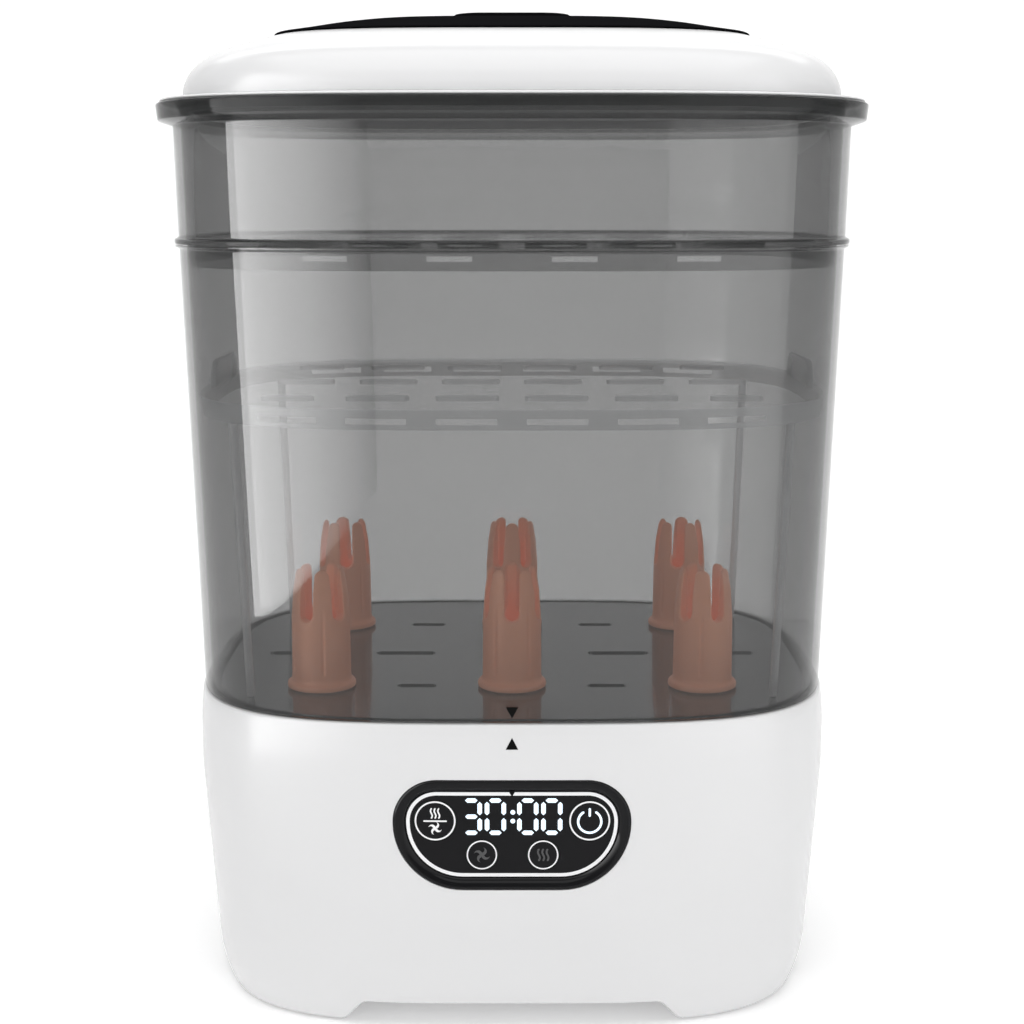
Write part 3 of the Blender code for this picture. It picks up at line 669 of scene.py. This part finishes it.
def steam_waves(at, size, low, high):
    """Three upright waves."""
    bm = bmesh.new()
    for column in (-1, 0, 1):
        points = []
        for step in range(17):
            rise = step / 16
            x = at[0] + (column * 0.62 + 0.14 * math.sin(rise * math.tau)) * size
            points.append((x, at[1] + (rise - 0.5) * 1.7 * size))
        merge(bm, prism(ribbon(points, 0.26 * size), low, high))
    return bm


def fan_mark(at, size, low, high):
    """Four curved blades round a hub."""
    bm = bmesh.new()
    for blade in range(4):
        turn = blade * 90
        lead = arc((0.08, 0.46), 0.52, -100, 70, 10)
        trail = arc((-0.02, 0.66), 0.36, 60, -75, 8)
        outline = []
        for x, y in lead + trail:
            c, s = math.cos(math.radians(turn)), math.sin(math.radians(turn))
            outline.append((at[0] + size * (x * c - y * s), at[1] + size * (x * s + y * c)))
        merge(bm, prism(outline, low, high))
    return bm


def power_mark(at, size, low, high):
    ring = arc(at, size, 90 + 32, 450 - 32, 40)
    bm = prism(ribbon(ring, 0.2 * size), low, high)
    stem = [(at[0], at[1] + 0.5 * size), (at[0], at[1] + 1.15 * size)]
    merge(bm, prism(ribbon(stem, 0.2 * size), low, high))
    return bm


def keys():
    """Round key caps a hair above the lens, each with its outline and mark."""
    top = LENS_DEPTH + 0.15 * MM
    for name, (x, z, radius) in KEYS.items():
        foot = LENS_DEPTH - 0.8 * MM
        edge = [(radius, foot), (radius, top - 0.15 * MM), (radius - 0.15 * MM, top)]
        section = [(0, foot)] + edge + [(0, top)]
        bm = turned(section, 72)
        bmesh.ops.rotate(bm, verts=bm.verts, matrix=Matrix.Rotation(-math.pi / 2, 3, "X"))
        bmesh.ops.translate(bm, verts=bm.verts, vec=(x, 0, z))
        on_panel(f"{name}_cap", bm, LENS, name, [name])
        low = top + 0.005 * MM
        high = top + 0.05 * MM
        line = 0.6 * MM if radius > 7 * MM else 0.5 * MM
        outer = circle((x, z), radius - 0.15 * MM, 72)
        inner = circle((x, z), radius - 0.15 * MM - line, 72)
        printed(f"{name}_outline", ring_strip(outer, inner, low, high), PRINT_WHITE, name)
        if name == "key_power":
            printed("power_mark", power_mark((x, z - 0.3 * MM), 4.3 * MM, low, high), LIT, name)
        elif name == "key_mode":
            printed("mode_steam", steam_waves((x, z + 2.9 * MM), 2.2 * MM, low, high), PRINT_WHITE, name)
            printed("mode_fan", fan_mark((x, z - 2.9 * MM), 2.5 * MM, low, high), PRINT_WHITE, name)
            bar = [(x - 4.2 * MM, z - 0.1 * MM), (x + 4.2 * MM, z - 0.1 * MM)]
            printed("mode_bar", prism(ribbon(bar, 0.6 * MM), low, high), PRINT_WHITE, name)
        elif name == "key_dry":
            printed("dry_fan", fan_mark((x, z), 3.0 * MM, low, high), PRINT_DIM, name)
        else:
            printed("steam_waves", steam_waves((x, z), 2.6 * MM, low, high), PRINT_DIM, name)


def arrows():
    """The two printed triangles that line the chamber up with the base."""
    up = [(-2.3 * MM, 112.2 * MM), (2.3 * MM, 112.2 * MM), (0, 116.6 * MM)]
    printed("arrow_base", prism(up, 0.02 * MM, 0.08 * MM), PRINT_BLACK)
    bm = prism([(-2.3 * MM, 128 * MM), (2.3 * MM, 128 * MM), (0, 123.6 * MM)], 0, 0.06 * MM)
    foot, height, lean = 120.27 * MM, 121.7 * MM, 0.0274
    for vert in bm.verts:
        wall = foot + (vert.co.z - height) * lean
        vert.co.y = SHALLOWER - wall - vert.co.y
    add("arrow_chamber", bm, PRINT_BLACK, "chamber")


# ---------------------------------------------------------------- chambers, rack and trays

def window_tool(middle, half, low, high):
    """A cutter for a low wide window through the front and rear of a skirt."""
    outline = [(middle - half, low), (middle + half, low), (middle + half, high), (middle - half, high)]
    return tool("window", slab(outline, -0.115, 0.115, "Y"))


LOWER = [
    (121.7, 120, 0.6), (293, 124.7, 0.5), (293.8, 126.3, 0.5), (294.4, 126.3, 0.2), (294.4, 122.2, 0.4),
    (122.3, 117.4, 0.8), (122.3, 114.9, 0.3), (119.4, 114.9, 0.3), (119.4, 109, 0.4), (117.4, 109, 0.4),
    (115.2, 114.4, 0.4), (115.2, 117.1, 0.4), (121.7, 117.1, 0.2),
]
UPPER = [
    (294.3, 119.2), (286.4, 119), (286.4, 121.1), (294.8, 121.7), (294.8, 126.4),
    (296.5, 126.4), (297.3, 124.9), (338.4, 125.8), (340.2, 131), (345.8, 131.6),
    (346.4, 131), (346.4, 124.4), (342, 123), (296.4, 122.1),
]


def lower_wall():
    add("chamber_wall", wall_loft(LOWER), SMOKE, "chamber", ["lower_chamber"])


def upper_wall():
    """The upper chamber's wall with its rim, and its slotted floor as a part of the same moulding."""
    profile = [(z, half, 0.0 if half < 119.5 else 0.45) for z, half in UPPER]
    wall = add("upper_body", wall_loft(profile, tube=False), SMOKE, "upper")
    cutters = []
    for column in range(6):
        for row in range(3):
            place = ((column - 2.5) * 34 * MM, (row - 1) * 48 * MM)
            cutters.append(tool("slot", slab(capsule(place, 23 * MM, 6 * MM), 0.292, 0.298)))
    for x in (-66, -22, 22, 66):
        cutters.append(window_tool(x * MM, 8 * MM, 289.6 * MM, 291.6 * MM))
    cut(wall, cutters)
    # Painted shade: rim and bead faces take the darker smoke, standing in for the shade behind the rim.
    wall.data.materials.append(SMOKE_RIM_SHADE)
    for face in wall.data.polygons:
        rim = face.center.z > 339 * MM
        bead = 294.5 * MM < face.center.z < 297.2 * MM
        face.material_index = 1 if rim or bead else 0
    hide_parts("upper_chamber")


def hole_tool(at, radius):
    """A cutter for a round hole through the rack."""
    return tool("hole", turned([(0, 0.11), (radius, 0.11), (radius, 0.13), (0, 0.13)], 48, at))


def rack():
    profile = [(119.7, 113.6), (120.2, 114.2), (121.0, 114.4), (121.6, 113.9)]
    bm = loft([level(half, z) for z, half in profile], tube=False)
    piece = add("rack_floor", bm, RACK, "rack")
    cutters = []
    for x in (-PRONG_PITCH, 0, PRONG_PITCH):
        for y in (-PRONG_ROW, PRONG_ROW):
            cutters.append(hole_tool((x, y), 8 * MM))
    for x in (-1, 1):
        for y in (-PRONG_ROW, PRONG_ROW):
            place = (x * PRONG_PITCH / 2, y)
            cutters.append(tool("drain", slab(capsule(place, 16 * MM, 5 * MM), 0.11, 0.13)))
    for x in (-90, -45, 0, 45, 90):
        cutters.append(tool("steam", slab(capsule((x * MM, 0), 26 * MM, 6 * MM), 0.11, 0.13)))
    cut(piece, cutters)
    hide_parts("bottle_rack")


def prong_mesh():
    """Hollow body with five fingers, its cut edges melted round as soft silicone is."""
    top = PRONG_TOP
    over = RACK_TOP + 2.7 * MM
    stub = 118.5 * MM
    inside = [(0, top - 34 * MM), (7.0 * MM, top - 30 * MM), (7.4 * MM, top - 2 * MM), (8 * MM, top)]
    tips = [(8.8 * MM, top - 0.5 * MM), (9.5 * MM, top - 2.2 * MM), (10.6 * MM, top - 9 * MM)]
    skin = [(11.4 * MM, top - 20 * MM), (11.6 * MM, over + 1.8 * MM), (12.0 * MM, over + 0.5 * MM)]
    flange = [(13.2 * MM, over), (13.5 * MM, over - 0.6 * MM), (13.5 * MM, RACK_TOP + 0.4 * MM)]
    under = [(7.6 * MM, RACK_TOP + 0.3 * MM), (7.6 * MM, stub), (0, stub)]
    body = tool("prong_body", turned(inside + tips + skin + flange + under, 80))
    body.data.materials.append(SILICONE)
    foot = top - 17.5 * MM
    half = 2.8 * MM
    flare = 2.4 * MM
    side = arc((half + flare, top - flare), flare, 180, 90, 8) + [(half + flare, top + 5 * MM)]
    outline = arc((0, foot), half, 180, 360, 12) + side + [(-x, z) for x, z in reversed(side)]
    groove = rounded_outline(0.55 * MM, over + 4 * MM, top - 8 * MM, 0.5 * MM, 0.5 * MM)
    cutters = []
    for index in range(FINGERS):
        place = math.tau * index / FINGERS
        between = place + math.pi / FINGERS
        for shape, depth, angle in ((outline, 2.5 * MM, place), (groove, 10.9 * MM, between)):
            cutter = slab(shape, -16 * MM, -depth, "Y")
            bmesh.ops.rotate(cutter, verts=cutter.verts, matrix=Matrix.Rotation(angle, 3, "Z"))
            cutters.append(tool("slot", cutter))
    cut(body, cutters)
    melt = body.modifiers.new("melt", "REMESH")
    melt.mode = "VOXEL"
    melt.voxel_size = 0.42 * MM
    melt.use_smooth_shade = True
    ease = body.modifiers.new("ease", "SMOOTH")
    ease.factor = 0.6
    ease.iterations = 8
    apply_modifiers(body)
    made = body.data
    bpy.data.objects.remove(body)
    made.shade_smooth()
    return made


def prongs():
    mesh = prong_mesh()
    for row, y, half_turn in (("front", -PRONG_ROW, 0), ("rear", PRONG_ROW, math.pi)):
        for side, x, lean in (("left", -PRONG_PITCH, -26), ("middle", 0, 0), ("right", PRONG_PITCH, 26)):
            copy = mesh.copy()
            turn = Matrix.Translation((x, y, 0)) @ Matrix.Rotation(math.radians(lean) + half_turn, 4, "Z")
            copy.transform(turn)
            if not copy.materials:
                copy.materials.append(SILICONE)
            piece = bpy.data.objects.new(f"soft_prong_{row}_{side}", copy)
            bpy.context.scene.collection.objects.link(piece)
            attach(piece, "rack")
            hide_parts(f"prong_{row}_{side}")
    bpy.data.meshes.remove(mesh)


def nipple_tray():
    skirt = [
        (236.2, 117, 0), (229.7, 116.6, 0.3), (229.7, 118.3, 0.3), (237.2, 119.1, 0.4), (238, 118.4, 0),
    ]
    tray = add("tray_plate", wall_loft(skirt, tube=False), CLEAR, "tray")
    cutters = []
    for column in range(6):
        x = (column - 2.5) * 34 * MM
        for y in (-62, 0, 62):
            length = 20 if abs(column - 2.5) > 2 and abs(y) > 50 else 24
            cutters.append(tool("slot", slab(capsule((x, y * MM), length * MM, 6 * MM), 0.22, 0.25)))
        middle = (column - 2.5) * 32.6 * MM
        cutters.append(window_tool(middle, 11 * MM, 231.6 * MM, 234 * MM))
    cut(tray, cutters)
    # Upright tray faces take the whitened clear plastic, a painted highlight along the tray's edges.
    tray.data.materials.append(CLEAR_EDGE_HIGHLIGHT)
    for face in tray.data.polygons:
        face.material_index = 1 if abs(face.normal.z) < 0.5 else 0
    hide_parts("nipple_tray")
    for side, name in ((-1, "left"), (1, "right")):
        outline = rounded_outline(27 * MM, 237 * MM, 248 * MM, MM, 9 * MM, 10)
        ear = slab(outline, -1.2 * MM, 1.2 * MM, "Y")
        bmesh.ops.rotate(ear, verts=ear.verts, matrix=Matrix.Rotation(math.pi / 2, 3, "Z"))
        bmesh.ops.translate(ear, verts=ear.verts, vec=(side * 118.8 * MM, 0, 0))
        piece = add(f"tray_ear_{name}", ear, CLEAR_EDGE_HIGHLIGHT, "tray")
        soften(piece, 0.5 * MM)
    for x, side in ((-1, "left"), (1, "right")):
        for y, end in ((-1, "front"), (1, "rear")):
            foot = Vector((x * 101 * MM, y * 67 * MM, RACK_TOP + 0.3 * MM))
            head = Vector((x * 104.5 * MM, y * 70.5 * MM, 229.4 * MM))
            levels = []
            for share, radius in ((0, 1.2), (0.01, 1.6), (0.5, 1.6), (0.99, 1.7), (1, 1.5)):
                middle = foot.lerp(head, share)
                ring = circle((middle.x, middle.y), radius * MM, 24)
                levels.append([(px, py, middle.z) for px, py in ring])
            leg = loft(levels, tube=False)
            old = [f"tray_leg_{end}_{side}"]
            add(f"leg_{end}_{side}", leg, CLEAR_EDGE_HIGHLIGHT, "tray", old)


# ---------------------------------------------------------------- lid

def lid():
    flange = [
        (346.7, 118.4, 0), (343.2, 118.3, 0.4), (343.2, 120.4, 0.4), (346.7, 121.2, 0.3),
        (346.7, 129.9, 0.2), (347.1, 130.3, 0.2), (347.6, 130.0, 0.3), (348, 127, 0),
    ]
    add("lid_flange", wall_loft(flange, tube=False), WHITE, "lid", ["lid_liner"])
    dome = [
        (348.3, 121.9, 0.4), (351.3, 121.8, 2), (355.2, 120.6, 3), (359.2, 118.2, 3), (362.6, 114.6, 3),
        (365.6, 108.8, 4), (368.1, 102, 4), (370.3, 95.2, 4), (372.2, 88.4, 0.3), (373.3, 80, 0.4),
        (370.4, 80, 0.4), (367.6, 95, 3), (361.2, 111, 3), (355, 117.6, 2), (348.3, 119, 0.4),
    ]
    cover = add("lid_dome", wall_loft(dome), WHITE, "lid")
    grips = []
    for side in (-1, 1):
        grip = slab(capsule((0, 0), 46 * MM, 13 * MM, "Y"), -1.2 * MM, 10 * MM)
        bmesh.ops.rotate(grip, verts=grip.verts, matrix=Matrix.Rotation(math.radians(side * 19), 3, "Y"))
        bmesh.ops.translate(grip, verts=grip.verts, vec=(side * 101 * MM, 0, 369.6 * MM))
        grips.append(tool("grip", grip))
    cut(cover, grips)
    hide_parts("lid_cover")
    top = [
        (373.9, 78, 0), (372.7, 88.1, 0.2), (373.3, 88.2, 0.3), (375.1, 79, 6), (377.5, 68, 6),
        (379.8, 54, 6), (381, 42, 0),
    ]
    panel = wall_loft(top, tube=False)
    add("lid_black_top", panel, TOP_BLACK, "lid", ["lid_top_panel"], sharp=50)
    outline = rounded_outline(22.6 * MM, -22.6 * MM, 22.6 * MM, 11 * MM, 11 * MM, 12)
    cap = add("vent_top", slab(outline, 381.0 * MM, 382.4 * MM), TOP_BLACK, "lid")
    slots = []
    for x in (-14, -5, 5, 14):
        slots.append(tool("slot", slab(capsule((x * MM, 0), 30 * MM, 3 * MM, "Y"), 0.3814, 0.39)))
    cut(cap, slots)
    soften(cap, 0.3 * MM)
    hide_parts("vent_cap")


# ---------------------------------------------------------------- carried-over pieces

FINISHES = {
    "white_plastic": WHITE, "smoky_clear": SMOKE, "dark_rack": RACK, "clear_plastic": CLEAR,
    "gloss_black": BLACK, "terracotta_silicone": SILICONE, "steel": STEEL, "rubber": RUBBER,
    "grey_plastic": GREY, "circuit_board": BOARD, "display_glass": LENS, "filter_paper": PAPER,
}


def finish_cad_nodes():
    """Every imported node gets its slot's procedural material."""
    slots = {entry["node"]: entry["material_slot"] for entry in frame["record"]["subparts"]}
    for name, node in frame["nodes"].items():
        node.data.materials.clear()
        node.data.materials.append(FINISHES[slots[name]])
        node.data.shade_smooth()
        node.data.set_sharp_from_angle(angle=math.radians(30))


# ---------------------------------------------------------------- studio and camera

def area_light(name, at, aim, size, energy):
    lamp = bpy.data.lights.new(name, "AREA")
    lamp.shape = "RECTANGLE"
    lamp.size, lamp.size_y = size
    lamp.energy = energy
    item = bpy.data.objects.new(name, lamp)
    item.location = at
    item.rotation_euler = (Vector(aim) - Vector(at)).to_track_quat("-Z", "Y").to_euler()
    bpy.context.scene.collection.objects.link(item)


def soft_wall(name, start, end, height, glow):
    """Upright soft boxes side by side along a line, each of its own brightness."""
    count = len(glow)
    for index, bright in enumerate(glow):
        first = Vector(start).lerp(Vector(end), index / count)
        last = Vector(start).lerp(Vector(end), (index + 1) / count)
        middle = (first + last) / 2
        width = (last - first).length
        side = Vector((last - first).to_3d()).normalized().cross(Vector((0, 0, 1)))
        if side.dot(Vector((-middle.x, -middle.y, 0))) < 0:
            side = -side
        at = Vector((middle.x, middle.y, height / 2 + 0.002))
        area_light(f"{name}_{index}", at, at + side, (width, height), bright * width * height * math.pi)


def shine_card(name, start, end, first, last):
    """An upright glowing card that only polished surfaces mirror, its glow changing along its length."""
    bm = bmesh.new()
    corners = [(*start, 0.03), (*end, 0.03), (*end, 0.60), (*start, 0.60)]
    bm.faces.new([bm.verts.new(corner) for corner in corners])
    mesh = bpy.data.meshes.new(f"card_{name}")
    bm.to_mesh(mesh)
    bm.free()
    made = bpy.data.materials.new(f"card_{name}")
    made.use_nodes = True
    nodes, links = made.node_tree.nodes, made.node_tree.links
    nodes.remove(nodes["Principled BSDF"])
    place = nodes.new("ShaderNodeTexCoord")
    split = nodes.new("ShaderNodeSeparateXYZ")
    span = nodes.new("ShaderNodeMapRange")
    span.inputs["From Min"].default_value = start[1]
    span.inputs["From Max"].default_value = end[1]
    span.inputs["To Min"].default_value = first
    span.inputs["To Max"].default_value = last
    glow = nodes.new("ShaderNodeEmission")
    links.new(place.outputs["Object"], split.inputs["Vector"])
    links.new(split.outputs["Y"], span.inputs["Value"])
    links.new(span.outputs["Result"], glow.inputs["Strength"])
    links.new(glow.outputs["Emission"], nodes["Material Output"].inputs["Surface"])
    mesh.materials.append(made)
    card = bpy.data.objects.new(f"card_{name}", mesh)
    bpy.context.scene.collection.objects.link(card)
    card.visible_camera = False
    card.visible_diffuse = False
    card.visible_transmission = False
    card.visible_shadow = False


def studio():
    """A pale sweep with soft light from above, both sides and a strip for the wall's reflection."""
    bm = bmesh.new()
    curve = arc((1.2, 0.8), 0.8, -80, 0, 8)
    profile = [(-3.0, 0), (1.2, 0)] + curve + [(2.0, 3.0)]
    rows = [[bm.verts.new((x, y, z)) for x in (-4, 4)] for y, z in profile]
    for first, second in zip(rows, rows[1:]):
        bm.faces.new((first[0], first[1], second[1], second[0]))
    mesh = bpy.data.meshes.new("sweep")
    bm.to_mesh(mesh)
    bm.free()
    paper = plastic("studio_paper", (0.93, 0.93, 0.93), (0.91, 0.91, 0.91), 0.7, bump=0.0, specular=0.1)
    add_glow(paper, (1, 1, 1), 0.18)
    mesh.materials.append(paper)
    mesh.shade_smooth()
    sweep = bpy.data.objects.new("sweep", mesh)
    sweep.location.z = -0.0002
    bpy.context.scene.collection.objects.link(sweep)
    soft_wall("left", (-0.46, -0.22), (-0.27, -0.86), 0.62, (0.7, 0.6, 0.5, 0.4, 0.25))
    soft_wall("right", (0.47, -0.24), (0.42, -0.50), 0.62, (1.4, 1.1))
    shine_card("left", (-0.36, -0.165), (-0.15, -0.52), 10.5, 0)
    shine_card("right", (0.36, -0.165), (0.17, -0.50), 2.2, 1.1)
    area_light("top", (0, -0.25, 1.3), (0, 0, 0.3), (1.4, 1.2), 10)
    area_light("front", (0, -2.0, 1.3), (0, 0, 0.2), (1.6, 0.8), 6)
    area_light("back", (0, 1.3, 1.6), (0, 1.6, 0), (2.6, 0.8), 14)
    world = bpy.data.worlds.new("studio")
    bpy.context.scene.world = world
    world.use_nodes = True
    backdrop = world.node_tree.nodes["Background"]
    backdrop.inputs["Color"].default_value = (1, 1, 1, 1)
    backdrop.inputs["Strength"].default_value = 0.28
    bpy.context.scene.view_settings.view_transform = "Standard"


def camera():
    lens_data = bpy.data.cameras.new("camera")
    lens_data.lens = 62.0
    lens_data.sensor_width = 36
    item = bpy.data.objects.new("camera", lens_data)
    item.location = (0, -0.727, 0.311)
    item.rotation_euler = (math.radians(90 - 10.03), 0, 0)
    bpy.context.scene.collection.objects.link(item)
    bpy.context.scene.camera = item


camera()
studio()
finish_cad_nodes()
base_skin()
base_underside()
bezel()
lens()
lens_line()
display()
keys()
arrows()
lower_wall()
upper_wall()
rack()
prongs()
nipple_tray()
lid()
